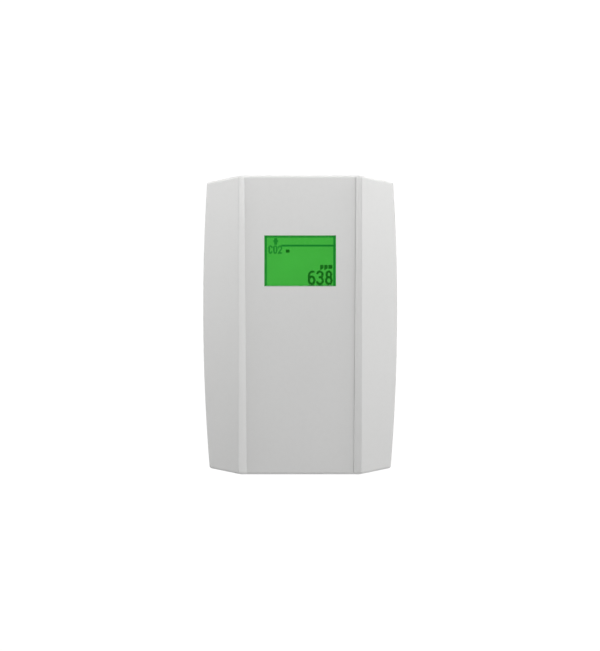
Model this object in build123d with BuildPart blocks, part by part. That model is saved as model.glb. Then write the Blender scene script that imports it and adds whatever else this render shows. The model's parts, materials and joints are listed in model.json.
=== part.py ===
from build123d import *
import math
import os

# Wall-mounted room air quality monitor.
#
# The origin is the centre of the rear face, on the wall. X is to the right for someone who faces
# the monitor, Z is up and the room is on the -Y side. "Depth" always means the distance from the
# wall towards the room, so a depth of 36 is y = -36. All sizes are in millimetres.

os.makedirs("parts", exist_ok=True)

# ------------------------------------------------------------------ driving dimensions

CASE_WIDTH = 99.0
CASE_HEIGHT = 152.0
CASE_DEPTH = 36.0
COVER_WALL = 2.0
RUNNING_GAP = 0.05

# Front view of the case: bowed sides, and a top and bottom that fall away to the corners.
SIDE_BOW_RADIUS = 1000.0
WIDEST_Z = 9.0
FLAT_END_HALF_WIDTH = 29.8
TOP_CORNER_Z = 72.7
BOTTOM_CORNER_Z = -72.9

# Plan view of the front: a sunk centre panel between two crests, and wings that slope back. The
# panel is a little narrower and deeper at the bottom than at the top, so it has a pair of values.
CREST_X = 31.3
CREST_ROUNDING = 0.6
WING_DROP = 10.5
PANEL_HALF_WIDTH = (28.4, 27.2)
PANEL_SINK = (1.9, 2.5)
STRIP_BULGE = 0.065
EDGE_ROUNDING = 1.2
SHADOW_LINE = 0.3

# Cover hinge at the top and snap latch at the bottom.
RIM_DEPTH = 2.5
HINGE_DEPTH = 6.5
HINGE_Z = 71.5
HINGE_PIN_RADIUS = 1.5
EAR_X = (24.0, 27.0)
LUG_X = (27.4, 30.4)
LATCH_HALF_WIDTH = 6.0
LATCH_ROOT_DEPTH = 3.4
LATCH_Z = -70.1
LATCH_THICKNESS = 1.6
LATCH_NOSE = (14.2, 17.6)
LATCH_TIP_Z = -73.5

# Back plate.
FLOOR = 2.2
PLATE_INSET = 0.8
PLATE_TOP_Z = 66.7
SKIRT_DEPTH = 7.0
SKIRT_WALL = 1.5
WALL_SCREW_Z = 61.0
WALL_SCREW_HOLE_RADIUS = 2.15
CABLE_ENTRY = (42.0, 20.0)
CABLE_ENTRY_CENTRE = (-13.0, -46.0)

# Main board.
BOARD = 1.6
BOARD_DEPTH = 8.0
BOARD_HALF_WIDTH = 40.0
BOARD_TOP_Z = 56.5
BOARD_STEP_Z = -32.0
BOARD_BOTTOM_Z = -66.0
BOARD_LEG_X = 14.0
BOARD_SCREWS = ((-36.0, 52.0), (36.0, 52.0), (-36.0, -27.0), (18.0, -62.0))
SCREW_RADIUS = 1.45
SCREW_HOLE_RADIUS = 1.5
BOARD_HOLE_RADIUS = 1.6
SCREW_HEAD_RADIUS = 2.75
SCREW_HEAD_HEIGHT = 1.8

# Display board and display, stacked on spacers above the main board.
SPACER_LENGTH = 14.0
SPACER_FLATS = 5.0
SPACERS = ((-22.8, 8.0), (22.8, 8.0), (-22.8, 53.0), (22.8, 53.0))
DISPLAY_BOARD_HALF_WIDTH = 26.0
DISPLAY_BOARD_Z = (4.0, 56.5)
WINDOW = (36.5, 25.9)
WINDOW_CENTRE = (0.0, 32.6)
GLASS = (40.0, 30.0)
GLASS_THICKNESS = 2.0
BACKLIGHT_THICKNESS = 2.6
BEZEL_WALL = 1.6
BEZEL_LIP = 0.4

# Lens of the display window.
LENS_GAP = 0.2
LENS_FLANGE = (42.0, 31.4)
LENS_FLANGE_THICKNESS = 1.0
TAPE_THICKNESS = 0.4
LENS_SINK = 0.4

# Buttons beside each other under the display.
BUTTON_NAMES = ("menu", "down", "up", "enter")
BUTTON_PITCH = 10.0
BUTTON_Z = 10.0
BUTTON_RADIUS = 1.75
BUTTON_TOP_ABOVE_BOARD = 5.0
BUTTON_TRAVEL = 0.25

# Terminal block.
POLES = 4
POLE_PITCH = 5.08
TERMINALS_X = -21.0
TERMINALS_Z = (-32.5, -24.3)
TERMINALS_HEIGHT = 10.0

# Output jumpers.
PIN_PITCH = 2.54
PIN_SIDE = 0.64
JUMPERS = ((-3.0, -27.5), (8.0, -27.5))

# Carbon dioxide cell.
CELL_CENTRE = (27.0, -40.2)
CELL_BOARD = (19.8, 33.9)
CELL_HOUSING = (18.4, 25.0)
CELL_STAND = 2.5

# ------------------------------------------------------------------ derived places

HALF_HEIGHT = CASE_HEIGHT / 2
PANEL_DEPTHS = [CASE_DEPTH - sink for sink in PANEL_SINK]
WINDOW_SHARE = (HALF_HEIGHT - WINDOW_CENTRE[1]) / CASE_HEIGHT
PANEL_DEPTH = PANEL_DEPTHS[0] + WINDOW_SHARE * (PANEL_DEPTHS[1] - PANEL_DEPTHS[0])
PANEL_INSIDE = PANEL_DEPTH - COVER_WALL
WING_EDGE_DEPTH = CASE_DEPTH - WING_DROP
BOARD_FACE = BOARD_DEPTH + BOARD
DISPLAY_BOARD_DEPTH = BOARD_FACE + SPACER_LENGTH
DISPLAY_FACE = DISPLAY_BOARD_DEPTH + BOARD
GLASS_DEPTH = DISPLAY_FACE + BACKLIGHT_THICKNESS
GLASS_FACE = GLASS_DEPTH + GLASS_THICKNESS
BEZEL_FACE = GLASS_FACE + 0.1 + BEZEL_LIP
FLANGE_FACE = PANEL_INSIDE - TAPE_THICKNESS
FLANGE_REAR = FLANGE_FACE - LENS_FLANGE_THICKNESS
TERMINALS_FACE = BOARD_FACE + TERMINALS_HEIGHT
POLE_X = [TERMINALS_X + (pole - (POLES - 1) / 2) * POLE_PITCH for pole in range(POLES)]
BUTTON_X = [(place - 1.5) * BUTTON_PITCH for place in range(len(BUTTON_NAMES))]

# ------------------------------------------------------------------ shared shapes


def layer(depth):
    """Sketch plane parallel to the wall. Sketch X is X, sketch Y is Z, and extrusions go to the room."""
    return Plane.XZ.offset(depth)


def blocks(width, height, near, far, places=((0, 0),), mode=Mode.ADD):
    """Rectangular blocks between two depths, centred on (x, z) places, for the part being built."""
    with BuildSketch(layer(near)) as plan:
        with Locations(*places):
            Rectangle(width, height)
    extrude(plan.sketch, amount=far - near, mode=mode)


def rods(radius, near, far, places=((0, 0),), mode=Mode.ADD):
    """Round rods between two depths, centred on (x, z) places, for the part being built."""
    with BuildSketch(layer(near)) as plan:
        with Locations(*places):
            Circle(radius)
    extrude(plan.sketch, amount=far - near, mode=mode)


def side_x(z):
    """Half width of the case at height z, on the bowed side."""
    return CASE_WIDTH / 2 - SIDE_BOW_RADIUS + math.sqrt(SIDE_BOW_RADIUS**2 - (z - WIDEST_Z) ** 2)


def case_outline(depth, inset=0.0, corner=0.5):
    """Front outline of the case at a depth, moved inwards by inset."""
    top_corner = (side_x(TOP_CORNER_Z), TOP_CORNER_Z)
    bottom_corner = (side_x(BOTTOM_CORNER_Z), BOTTOM_CORNER_Z)
    with BuildSketch(layer(depth)) as outline:
        with BuildLine():
            Polyline((0, HALF_HEIGHT), (FLAT_END_HALF_WIDTH, HALF_HEIGHT), top_corner)
            ThreePointArc(top_corner, (CASE_WIDTH / 2, WIDEST_Z), bottom_corner)
            Polyline(bottom_corner, (FLAT_END_HALF_WIDTH, -HALF_HEIGHT), (0, -HALF_HEIGHT))
            mirror(about=Plane.YZ)
        make_face()
        if inset > 0:
            offset(amount=-inset, kind=Kind.INTERSECTION)
        corners = outline.vertices().filter_by(lambda vertex: abs(vertex.X) > FLAT_END_HALF_WIDTH + 5)
        fillet(corners, corner)
    return outline.sketch


def front_profile(middle, inset=0.0):
    """Plan section of the case with its wings, seen from above, moved inwards by inset.

    middle gives the points between the crest and the centre line.
    """
    beyond = 4.0
    slope = WING_DROP / (CASE_WIDTH / 2 - CREST_X)
    edge_x = CASE_WIDTH / 2 + beyond
    edge_depth = WING_EDGE_DEPTH - beyond * slope
    with BuildSketch(Plane.XY.offset(-HALF_HEIGHT)) as profile:
        with BuildLine():
            wing = [(0, beyond), (edge_x, beyond), (edge_x, -edge_depth), (CREST_X, -CASE_DEPTH)]
            Polyline(*wing, *middle)
            mirror(about=Plane.YZ)
        make_face()
        if inset > 0:
            offset(amount=-inset, kind=Kind.INTERSECTION)
    return profile.sketch


def panel_section(z, foot_x, depth):
    """Section at height z of the space in front of the sunk panel, with its curved side strips."""
    foot = (foot_x, -depth)
    crest = (CREST_X, -CASE_DEPTH)
    clear_of_front = -CASE_DEPTH - 2
    with BuildSketch(Plane.XY.offset(z)) as section:
        with BuildLine():
            Line((0, -depth), foot)
            SagittaArc(foot, crest, -STRIP_BULGE * math.dist(foot, crest))
            Polyline(crest, (CREST_X, clear_of_front), (0, clear_of_front))
            mirror(about=Plane.YZ)
        make_face()
    return section.sketch


def shadow_line_section(z, foot_x, depth):
    """Section at height z of the fine grooves along the feet of the side strips."""
    with BuildSketch(Plane.XY.offset(z)) as section:
        with Locations((-foot_x, -depth), (foot_x, -depth)):
            Rectangle(SHADOW_LINE, 2 * SHADOW_LINE)
    return section.sketch


def screw_drive(depth, places, slot=2.6):
    """Cross recess cut into screw heads whose faces are at a depth."""
    recess = 1.0
    blocks(slot, 0.6, depth - recess, depth, places, Mode.SUBTRACT)
    blocks(0.6, slot, depth - recess, depth, places, Mode.SUBTRACT)


# ------------------------------------------------------------------ back plate

with BuildPart() as back_plate:
    # Floor against the wall. It stops below the top so that the cover can swing.
    extrude(case_outline(0, PLATE_INSET, 1.0), amount=FLOOR)
    # Skirt that stiffens the floor and stands just inside the cover.
    skirt_inset = COVER_WALL + 0.5
    skirt_height = SKIRT_DEPTH - FLOOR
    extrude(case_outline(FLOOR, skirt_inset), amount=skirt_height)
    extrude(case_outline(FLOOR, skirt_inset + SKIRT_WALL), amount=skirt_height, mode=Mode.SUBTRACT)
    blocks(CASE_WIDTH, 20, 0, SKIRT_DEPTH, ((0, PLATE_TOP_Z + 10),), Mode.SUBTRACT)
    blocks(88, SKIRT_WALL, FLOOR, SKIRT_DEPTH, ((0, PLATE_TOP_Z - SKIRT_WALL),))
    # The skirt is open for the latch finger, with a cheek on each side of it.
    cheek_x = LATCH_HALF_WIDTH + 1.2
    cheeks = [(-cheek_x, LATCH_Z - 0.8), (cheek_x, LATCH_Z - 0.8)]
    blocks(2 * cheek_x + 1.6, 6, FLOOR, SKIRT_DEPTH, ((0, LATCH_Z - 2.4),), Mode.SUBTRACT)
    blocks(1.6, 5, FLOOR, SKIRT_DEPTH, cheeks)
    # Ears that carry the hinge pins, in front of the path of the cover's top edge.
    ear_head = 2.2
    for side in (-1, 1):
        with BuildSketch(Plane.YZ.offset(side * (EAR_X[0] + EAR_X[1]) / 2)) as ear:
            with Locations((-HINGE_DEPTH, HINGE_Z)):
                Circle(ear_head)
            with Locations((-HINGE_DEPTH, HINGE_Z - 6)):
                Rectangle(2 * ear_head, 12)
            with Locations((-(HINGE_DEPTH + ear_head) / 2, PLATE_TOP_Z - 3.7)):
                Rectangle(HINGE_DEPTH + ear_head, 7)
        extrude(ear.sketch, amount=(EAR_X[1] - EAR_X[0]) / 2, both=True)
        with BuildSketch(Plane.YZ.offset(side * EAR_X[1])) as pin:
            with Locations((-HINGE_DEPTH, HINGE_Z)):
                Circle(HINGE_PIN_RADIUS)
        extrude(pin.sketch, amount=side * (LUG_X[1] + 0.4 - EAR_X[1]))
    # Posts for the main board, each with a blind hole for its screw.
    rods(3.0, FLOOR, BOARD_DEPTH, BOARD_SCREWS)
    rods(SCREW_HOLE_RADIUS, 1.0, BOARD_DEPTH, BOARD_SCREWS, Mode.SUBTRACT)
    # Holes for the two wall screws, with raised pads, and the opening for cables from the wall.
    rods(4.5, FLOOR, FLOOR + 0.8, ((0, -WALL_SCREW_Z),))
    rods(WALL_SCREW_HOLE_RADIUS, 0, SKIRT_DEPTH, ((0, WALL_SCREW_Z), (0, -WALL_SCREW_Z)), Mode.SUBTRACT)
    with BuildSketch(layer(0)) as entry:
        with Locations(CABLE_ENTRY_CENTRE):
            RectangleRounded(*CABLE_ENTRY, 3.0)
    extrude(entry.sketch, amount=FLOOR, mode=Mode.SUBTRACT)
back_plate.part.label = "back_plate"
export_step(back_plate.part, "parts/back_plate.step")

# ------------------------------------------------------------------ front cover

with BuildPart() as cover_cavity:
    extrude(case_outline(0, COVER_WALL), amount=CASE_DEPTH)
    panel_points = [(sum(PANEL_HALF_WIDTH) / 2, -PANEL_DEPTH), (0, -PANEL_DEPTH)]
    extrude(front_profile(panel_points, COVER_WALL), amount=CASE_HEIGHT, mode=Mode.INTERSECT)

ENDS = list(zip((HALF_HEIGHT, -HALF_HEIGHT), PANEL_HALF_WIDTH, PANEL_DEPTHS))

with BuildPart() as panel_space:
    loft([panel_section(*end) for end in ENDS], ruled=True)

with BuildPart() as shadow_lines:
    for side in (-1, 1):
        sections = [shadow_line_section(*end).faces().sort_by(Axis.X)[side] for end in ENDS]
        loft(sections, ruled=True)

with BuildPart() as front_cover:
    extrude(case_outline(RIM_DEPTH, 0.0, 1.5), amount=CASE_DEPTH)
    extrude(front_profile([(0, -CASE_DEPTH)]), amount=CASE_HEIGHT, mode=Mode.INTERSECT)
    add(panel_space.part, mode=Mode.SUBTRACT)
    front_edges = front_cover.edges().filter_by(
        lambda edge: edge.center().Y < -20 and (abs(edge.center().Z) > 70 or abs(edge.center().X) > 45)
    )
    fillet(front_edges, EDGE_ROUNDING)
    crests = front_cover.edges().filter_by(
        lambda edge: edge.length > CASE_HEIGHT - 10 and edge.center().Y < 1 - CASE_DEPTH
    )
    fillet(crests, CREST_ROUNDING)
    add(cover_cavity.part, mode=Mode.SUBTRACT)
    add(shadow_lines.part, mode=Mode.SUBTRACT)
    # Locating frame behind the window, and the window itself.
    seat = (LENS_FLANGE[0] + 0.4, LENS_FLANGE[1] + 0.4)
    blocks(seat[0] + 4, seat[1] + 4, FLANGE_REAR, PANEL_INSIDE, (WINDOW_CENTRE,))
    blocks(*seat, FLANGE_REAR, PANEL_INSIDE, (WINDOW_CENTRE,), Mode.SUBTRACT)
    blocks(*WINDOW, PANEL_INSIDE, CASE_DEPTH, (WINDOW_CENTRE,), Mode.SUBTRACT)
    # Air slots through the top and bottom walls. The middle of the bottom is left for the latch.
    slot_width, slot_length, slot_pitch = 1.8, 15.0, 5.0
    for top, columns in ((True, range(-4, 5)), (False, (-5, -4, -3, -2, 2, 3, 4, 5))):
        with BuildSketch(Plane.XY.offset(HALF_HEIGHT if top else -HALF_HEIGHT)) as slots:
            with Locations(*[(column * slot_pitch, -21.0) for column in columns]):
                SlotOverall(slot_length, slot_width, rotation=90)
        extrude(slots.sketch, amount=COVER_WALL, both=True, mode=Mode.SUBTRACT)
    # Slot in the bottom wall that the latch nose snaps into.
    with BuildSketch(Plane.XY.offset(-HALF_HEIGHT)) as latch_slot:
        with Locations((0, -sum(LATCH_NOSE) / 2)):
            Rectangle(2 * LATCH_HALF_WIDTH + 0.6, LATCH_NOSE[1] - LATCH_NOSE[0] + 1.6)
    extrude(latch_slot.sketch, amount=COVER_WALL, both=True, mode=Mode.SUBTRACT)
    # Lugs that turn on the hinge pins of the back plate.
    lug_head = 3.0
    lug_middle = (LUG_X[0] + LUG_X[1]) / 2
    for side in (-1, 1):
        with BuildSketch(Plane.YZ.offset(side * lug_middle)) as lug:
            with Locations((-HINGE_DEPTH, HINGE_Z)):
                Circle(lug_head)
            with Locations((-HINGE_DEPTH, HINGE_Z + 1.8)):
                Rectangle(2 * lug_head, 3.6)
        extrude(lug.sketch, amount=(LUG_X[1] - LUG_X[0]) / 2, both=True)
        with BuildSketch(Plane.YZ.offset(side * lug_middle)) as bore:
            with Locations((-HINGE_DEPTH, HINGE_Z)):
                Circle(HINGE_PIN_RADIUS + RUNNING_GAP)
        extrude(bore.sketch, amount=3, both=True, mode=Mode.SUBTRACT)
front_cover.part.label = "front_cover"
export_step(front_cover.part, "parts/front_cover.step")

# ------------------------------------------------------------------ display window

with BuildPart() as display_window:
    blocks(*LENS_FLANGE, FLANGE_REAR, FLANGE_FACE, (WINDOW_CENTRE,))
    lens_width = WINDOW[0] - 2 * LENS_GAP
    lens_height = WINDOW[1] - 2 * LENS_GAP
    blocks(lens_width, lens_height, FLANGE_FACE, PANEL_DEPTH - LENS_SINK, (WINDOW_CENTRE,))
    chamfer(display_window.faces().sort_by(Axis.Y)[0].edges(), 0.25)
display_window.part.label = "display_window"
export_step(display_window.part, "parts/display_window.step")

with BuildPart() as window_tape:
    blocks(LENS_FLANGE[0] - 0.6, LENS_FLANGE[1] - 0.6, FLANGE_FACE, PANEL_INSIDE, (WINDOW_CENTRE,))
    blocks(WINDOW[0] + 0.6, WINDOW[1] + 0.6, FLANGE_FACE, PANEL_INSIDE, (WINDOW_CENTRE,), Mode.SUBTRACT)
window_tape.part.label = "window_tape"
export_step(window_tape.part, "parts/window_tape.step")

# ------------------------------------------------------------------ snap latch

with BuildPart() as snap_latch:
    # Springy finger, held in so that the cover is free. It turns down by ten degrees to put its nose
    # in the slot of the cover.
    root = (-LATCH_ROOT_DEPTH, LATCH_Z)
    half = LATCH_THICKNESS / 2
    with BuildSketch(Plane.YZ):
        with Locations(root):
            Circle(half)
        with BuildLine():
            Polyline(
                (-LATCH_ROOT_DEPTH, LATCH_Z + half),
                (-LATCH_NOSE[1], LATCH_Z + half),
                (-LATCH_NOSE[1], LATCH_Z - 1.8),
                (-LATCH_NOSE[0] - 0.7, LATCH_TIP_Z),
                (-LATCH_NOSE[0], LATCH_TIP_Z),
                (-LATCH_NOSE[0], LATCH_Z - half),
                (-LATCH_ROOT_DEPTH, LATCH_Z - half),
                close=True,
            )
        make_face()
    extrude(amount=LATCH_HALF_WIDTH, both=True)
snap_latch.part.label = "snap_latch"
export_step(snap_latch.part, "parts/snap_latch.step")

# ------------------------------------------------------------------ main board

with BuildPart() as main_board:
    with BuildSketch(layer(BOARD_DEPTH)):
        with BuildLine():
            Polyline(
                (-BOARD_HALF_WIDTH, BOARD_TOP_Z),
                (BOARD_HALF_WIDTH, BOARD_TOP_Z),
                (BOARD_HALF_WIDTH, BOARD_BOTTOM_Z),
                (BOARD_LEG_X, BOARD_BOTTOM_Z),
                (BOARD_LEG_X, BOARD_STEP_Z),
                (-BOARD_HALF_WIDTH, BOARD_STEP_Z),
                close=True,
            )
        make_face()
    extrude(amount=BOARD)
    corners = main_board.edges().filter_by(Axis.Y)
    fillet(corners, 1.0)
    rods(BOARD_HOLE_RADIUS, BOARD_DEPTH, BOARD_FACE, BOARD_SCREWS, Mode.SUBTRACT)
    rods(BOARD_HOLE_RADIUS, BOARD_DEPTH, BOARD_FACE, SPACERS, Mode.SUBTRACT)
    # Slots that keep the warmth of the board away from the climate sensor.
    blocks(11, 1.2, BOARD_DEPTH, BOARD_FACE, ((31.5, -59.4),), Mode.SUBTRACT)
    blocks(1.2, 4.2, BOARD_DEPTH, BOARD_FACE, ((26.6, -61.5),), Mode.SUBTRACT)
main_board.part.label = "main_board"
export_step(main_board.part, "parts/main_board.step")

with BuildPart() as board_screws:
    rods(SCREW_RADIUS, 2.0, BOARD_FACE, BOARD_SCREWS)
    rods(SCREW_HEAD_RADIUS, BOARD_FACE, BOARD_FACE + SCREW_HEAD_HEIGHT, BOARD_SCREWS)
    heads = board_screws.faces().filter_by(Axis.Y).sort_by(Axis.Y)[: len(BOARD_SCREWS)]
    chamfer(heads.edges(), 0.4)
    screw_drive(BOARD_FACE + SCREW_HEAD_HEIGHT, BOARD_SCREWS)
board_screws.part.label = "board_screws"
export_step(board_screws.part, "parts/board_screws.step")

# ------------------------------------------------------------------ terminal block

ENTRY_WIDTH = 4.0
CAGE_SIZE = 3.4
CAGE_HEIGHT = 3.6
CAVITY = (BOARD_FACE + 0.7, BOARD_FACE + 6.3)
CAGE_REST = CAVITY[0] + 0.2
POLE_Z = (TERMINALS_Z[0] + TERMINALS_Z[1]) / 2 - 0.5
SHOULDER = CAVITY[1] + 1.0
TERMINAL_HEAD_RADIUS = 1.75
TERMINAL_SHANK_RADIUS = 1.2
TAB_DEPTH = CAGE_REST + CAGE_HEIGHT - 0.8 - 0.4
TAB_REAR_Z = POLE_Z + 2.6
poles = [(x, POLE_Z) for x in POLE_X]

with BuildPart() as terminal_block:
    width = POLES * POLE_PITCH
    with BuildSketch(Plane.YZ.offset(TERMINALS_X - width / 2)):
        with BuildLine():
            Polyline(
                (-BOARD_FACE, TERMINALS_Z[1]),
                (-BOARD_FACE, TERMINALS_Z[0]),
                (-TERMINALS_FACE + 2.4, TERMINALS_Z[0]),
                (-TERMINALS_FACE, TERMINALS_Z[0] + 1.6),
                (-TERMINALS_FACE, TERMINALS_Z[1] - 1.0),
                (-TERMINALS_FACE + 1.0, TERMINALS_Z[1]),
                close=True,
            )
        make_face()
    extrude(amount=width)
    # Each pole has a chamber for its cage, open to the wire side, and a well for its screw.
    chamber_top = TAB_REAR_Z + 0.8
    chamber_height = chamber_top - TERMINALS_Z[0]
    chambers = [(x, TERMINALS_Z[0] + chamber_height / 2) for x in POLE_X]
    blocks(ENTRY_WIDTH, chamber_height, *CAVITY, chambers, Mode.SUBTRACT)
    rods(TERMINAL_HEAD_RADIUS + 0.15, SHOULDER, TERMINALS_FACE, poles, Mode.SUBTRACT)
    rods(TERMINAL_SHANK_RADIUS + 0.1, CAVITY[1], SHOULDER, poles, Mode.SUBTRACT)
    # Slots in the floor for the pins of the contacts.
    blocks(1.2, 0.8, BOARD_FACE, CAVITY[0], [(x, TAB_REAR_Z) for x in POLE_X], Mode.SUBTRACT)
terminal_block.part.label = "terminal_block"
export_step(terminal_block.part, "parts/terminal_block.step")

with BuildPart() as terminal_contacts:
    # A tab that the cage lifts the wire against, on a leg that stands on the board.
    tab_thickness = 0.4
    tab_front_z = POLE_Z - 1.6
    tab_length = TAB_REAR_Z + 0.25 - tab_front_z
    tabs = [(x, tab_front_z + tab_length / 2) for x in POLE_X]
    blocks(1.8, tab_length, TAB_DEPTH, TAB_DEPTH + tab_thickness, tabs)
    blocks(1.0, 0.5, BOARD_FACE, TAB_DEPTH, [(x, TAB_REAR_Z) for x in POLE_X])
terminal_contacts.part.label = "terminal_contacts"
export_step(terminal_contacts.part, "parts/terminal_contacts.step")

for number, place in enumerate(poles, start=1):
    with BuildPart() as terminal_screw:
        screw_end = TAB_DEPTH + tab_thickness + 0.15
        head_face = SHOULDER + 2.0
        rods(TERMINAL_SHANK_RADIUS, screw_end, SHOULDER + 0.1, (place,))
        rods(TERMINAL_HEAD_RADIUS, SHOULDER + 0.1, head_face, (place,))
        blocks(2 * TERMINAL_HEAD_RADIUS, 0.7, head_face - 1.0, head_face, (place,), Mode.SUBTRACT)
    terminal_screw.part.label = f"terminal_screw_{number}"
    export_step(terminal_screw.part, f"parts/terminal_screw_{number}.step")

    with BuildPart() as wire_clamp:
        # Cage with a window for the wire and a threaded hole for the screw in its top.
        cage_top = CAGE_REST + CAGE_HEIGHT
        blocks(CAGE_SIZE, CAGE_SIZE, CAGE_REST, cage_top, (place,))
        blocks(CAGE_SIZE - 1.0, CAGE_SIZE + 1, CAGE_REST + 0.6, cage_top - 0.8, (place,), Mode.SUBTRACT)
        rods(TERMINAL_SHANK_RADIUS + RUNNING_GAP, cage_top - 0.8, cage_top, (place,), Mode.SUBTRACT)
    wire_clamp.part.label = f"wire_clamp_{number}"
    export_step(wire_clamp.part, f"parts/wire_clamp_{number}.step")

# ------------------------------------------------------------------ power supply parts

CAPACITORS = ((-33.0, 22.0), (-33.0, 11.0))

with BuildPart() as supply_capacitors:
    rods(4.0, BOARD_FACE, BOARD_FACE + 11.5, CAPACITORS)
    rods(3.7, BOARD_FACE + 1.6, BOARD_FACE + 2.2, CAPACITORS)
    tops = supply_capacitors.faces().filter_by(Axis.Y).sort_by(Axis.Y)[: len(CAPACITORS)]
    fillet(tops.edges(), 0.5)
    # Vent cross scored in each can.
    blocks(5.0, 0.3, BOARD_FACE + 11.3, BOARD_FACE + 11.5, CAPACITORS, Mode.SUBTRACT)
    blocks(0.3, 5.0, BOARD_FACE + 11.3, BOARD_FACE + 11.5, CAPACITORS, Mode.SUBTRACT)
supply_capacitors.part.label = "supply_capacitors"
export_step(supply_capacitors.part, "parts/supply_capacitors.step")

with BuildPart() as supply_inductor:
    with BuildSketch(layer(BOARD_FACE)):
        with Locations((-32.5, -2.0)):
            RectangleRounded(10, 10, 2.0)
    extrude(amount=4.8)
    chamfer(supply_inductor.faces().sort_by(Axis.Y)[0].edges(), 0.5)
    rods(3.2, BOARD_FACE + 4.5, BOARD_FACE + 4.8, ((-32.5, -2.0),), Mode.SUBTRACT)
supply_inductor.part.label = "supply_inductor"
export_step(supply_inductor.part, "parts/supply_inductor.step")

with BuildPart() as bridge_rectifier:
    blocks(8.5, 6.4, BOARD_FACE + 0.1, BOARD_FACE + 2.6, ((-19.0, -3.0),))
    blocks(0.6, 9.2, BOARD_FACE, BOARD_FACE + 0.4, ((-21.5, -3.0), (-16.5, -3.0)))
bridge_rectifier.part.label = "bridge_rectifier"
export_step(bridge_rectifier.part, "parts/bridge_rectifier.step")

with BuildPart() as voltage_regulator:
    blocks(6.6, 6.1, BOARD_FACE + 0.2, BOARD_FACE + 2.3, ((-19.0, -14.5),))
    blocks(5.4, 8.0, BOARD_FACE, BOARD_FACE + 0.5, ((-19.0, -12.9),))
    blocks(0.8, 9.6, BOARD_FACE, BOARD_FACE + 0.5, ((-21.3, -14.5), (-16.7, -14.5)))
voltage_regulator.part.label = "voltage_regulator"
export_step(voltage_regulator.part, "parts/voltage_regulator.step")

with BuildPart() as surge_suppressor:
    # Round disc on edge, on two leads.
    with BuildSketch(Plane.YZ.offset(-35.0)):
        with Locations((-BOARD_FACE - 5.6, -14.5)):
            Circle(4.4)
    extrude(amount=1.7, both=True)
    fillet(surge_suppressor.edges(), 0.8)
    rods(0.35, BOARD_FACE, BOARD_FACE + 3.0, ((-35.0, -17.0), (-35.0, -12.0)))
surge_suppressor.part.label = "surge_suppressor"
export_step(surge_suppressor.part, "parts/surge_suppressor.step")

with BuildPart() as resettable_fuse:
    blocks(4.7, 3.4, BOARD_FACE, BOARD_FACE + 1.2, ((-28.5, -18.0),))
resettable_fuse.part.label = "resettable_fuse"
export_step(resettable_fuse.part, "parts/resettable_fuse.step")

# ------------------------------------------------------------------ control parts

CONTROLLER = (10.0, -8.0)
AMPLIFIERS = ((-6.0, -16.0), (-6.0, -6.0))

with BuildPart() as microcontroller:
    blocks(10, 10, BOARD_FACE + 0.1, BOARD_FACE + 1.5, (CONTROLLER,))
    chamfer(microcontroller.edges().filter_by(Axis.Y), 0.5)
    first_pin_mark = (CONTROLLER[0] - 3.6, CONTROLLER[1] + 3.6)
    rods(0.6, BOARD_FACE + 1.4, BOARD_FACE + 1.5, (first_pin_mark,), Mode.SUBTRACT)
microcontroller.part.label = "microcontroller"
export_step(microcontroller.part, "parts/microcontroller.step")

with BuildPart() as amplifier_chips:
    blocks(3.9, 4.9, BOARD_FACE + 0.1, BOARD_FACE + 1.6, AMPLIFIERS)
    chamfer(amplifier_chips.faces().filter_by(Axis.Y).sort_by(Axis.Y)[:2].edges(), 0.25)
amplifier_chips.part.label = "amplifier_chips"
export_step(amplifier_chips.part, "parts/amplifier_chips.step")

with BuildPart() as chip_leads:
    # Twelve leads on each side of the controller, four on each side of an amplifier.
    reach = 5.0
    span = [(lead - 5.5) * 0.8 for lead in range(12)]
    for side in (-1, 1):
        edge = side * (reach + 0.5)
        flanks = [(CONTROLLER[0] + edge, CONTROLLER[1] + step) for step in span]
        ends = [(CONTROLLER[0] + step, CONTROLLER[1] + edge) for step in span]
        blocks(1.0, 0.35, BOARD_FACE, BOARD_FACE + 0.6, flanks)
        blocks(0.35, 1.0, BOARD_FACE, BOARD_FACE + 0.6, ends)
        for x, z in AMPLIFIERS:
            leads = [(x + side * 2.45, z + (lead - 1.5) * 1.27) for lead in range(4)]
            blocks(1.0, 0.42, BOARD_FACE, BOARD_FACE + 0.6, leads)
chip_leads.part.label = "chip_leads"
export_step(chip_leads.part, "parts/chip_leads.step")

with BuildPart() as clock_crystal:
    with BuildSketch(layer(BOARD_FACE)):
        with Locations((10.0, 4.0)):
            SlotOverall(11.4, 4.7)
    extrude(amount=0.4)
    with BuildSketch(layer(BOARD_FACE + 0.4)):
        with Locations((10.0, 4.0)):
            SlotOverall(10.4, 3.8)
    extrude(amount=3.4)
    fillet(clock_crystal.faces().sort_by(Axis.Y)[0].edges(), 0.4)
clock_crystal.part.label = "clock_crystal"
export_step(clock_crystal.part, "parts/clock_crystal.step")

with BuildPart() as chip_resistors:
    # Rows of small parts: in front of the terminals, beside the controller and up the right edge.
    columns = [(x, -21.0) for x in range(-10, 13, 3)]
    blocks(1.25, 2.0, BOARD_FACE, BOARD_FACE + 0.5, columns)
    rungs = [(x, z) for x in (30.0, 35.0) for z in range(-14, 11, 4)]
    blocks(2.0, 1.25, BOARD_FACE, BOARD_FACE + 0.5, rungs)
chip_resistors.part.label = "chip_resistors"
export_step(chip_resistors.part, "parts/chip_resistors.step")

with BuildPart() as chip_capacitors:
    around = [(3.0, -16.0), (10.0, -16.0), (17.5, -15.0), (18.5, -8.0), (18.5, -2.0), (1.0, -8.0)]
    blocks(1.25, 2.0, BOARD_FACE, BOARD_FACE + 0.9, around)
    column = [(-26.0, z) for z in range(14, 31, 5)]
    blocks(3.2, 1.6, BOARD_FACE, BOARD_FACE + 1.2, column)
chip_capacitors.part.label = "chip_capacitors"
export_step(chip_capacitors.part, "parts/chip_capacitors.step")

# ------------------------------------------------------------------ output jumpers

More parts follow.
